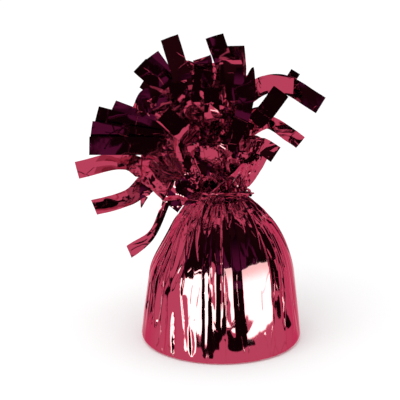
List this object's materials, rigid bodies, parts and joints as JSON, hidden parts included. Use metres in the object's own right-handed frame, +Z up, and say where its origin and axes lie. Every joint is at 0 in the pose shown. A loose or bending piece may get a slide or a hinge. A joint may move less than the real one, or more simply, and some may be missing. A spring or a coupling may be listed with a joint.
{
  "type": "balloon weight",
  "caption": "Weighted tub wrapped in crimson metallised film, tied at the neck under a ruff and a plume of slit film strips, for holding balloons down by their ribbons.",
  "frame": {"origin": "centre of the flat underside that the weight rests on", "axes": "+Z up, -Y towards the front that the picture shows, +X to the right in it"},
  "size_m": [0.0998, 0.0785, 0.1261],
  "materials": {
    "film": "crimson metallised plastic film, mirror bright, creased and pleated",
    "cord": "thin crimson tinsel cord",
    "tub": "thin thermoformed off-white plastic",
    "filler": "cast cement mortar, matt",
    "card": "plain grey-brown board"
  },
  "bodies": {
    "root": {"base_card": "card", "weight_tub": "tub", "concrete_fill": "filler", "foil_wrap": "film", "fringe_heart": "film", "neck_tie": "cord", "strip_top_left": "film", "strip_upper_left": "film", "strip_upper_left_back": "film", "strip_left_bump": "film", "strip_fan_top": "film", "strip_fan_upper": "film", "strip_fan_middle": "film", "strip_fan_lower": "film", "strip_top_middle": "film", "strip_front_fall": "film", "strip_top_right": "film", "strip_tall_right": "film", "strip_right_swoop": "film", "strip_right_dark": "film", "strip_right_stub": "film", "strip_right_middle": "film", "strip_right_low": "film", "strip_right_drop": "film", "strip_top_flat": "film", "strip_heart_left": "film", "strip_heart_middle": "film", "strip_heart_low": "film", "strip_heart_right": "film", "strip_left_flat": "film", "strip_left_lobe": "film", "strip_low_lobe": "film", "strip_left_curl": "film", "strip_long_curl": "film", "strip_crown_1": "film", "strip_crown_2": "film", "strip_back_high_1": "film", "strip_back_high_2": "film", "strip_back_high_3": "film", "strip_back_high_4": "film", "strip_back_middle_1": "film", "strip_back_middle_2": "film", "strip_back_middle_3": "film", "strip_back_middle_4": "film", "strip_back_middle_5": "film", "strip_back_low_1": "film", "strip_back_low_2": "film", "strip_back_low_3": "film", "strip_back_low_4": "film"}
  },
  "joints": []
}
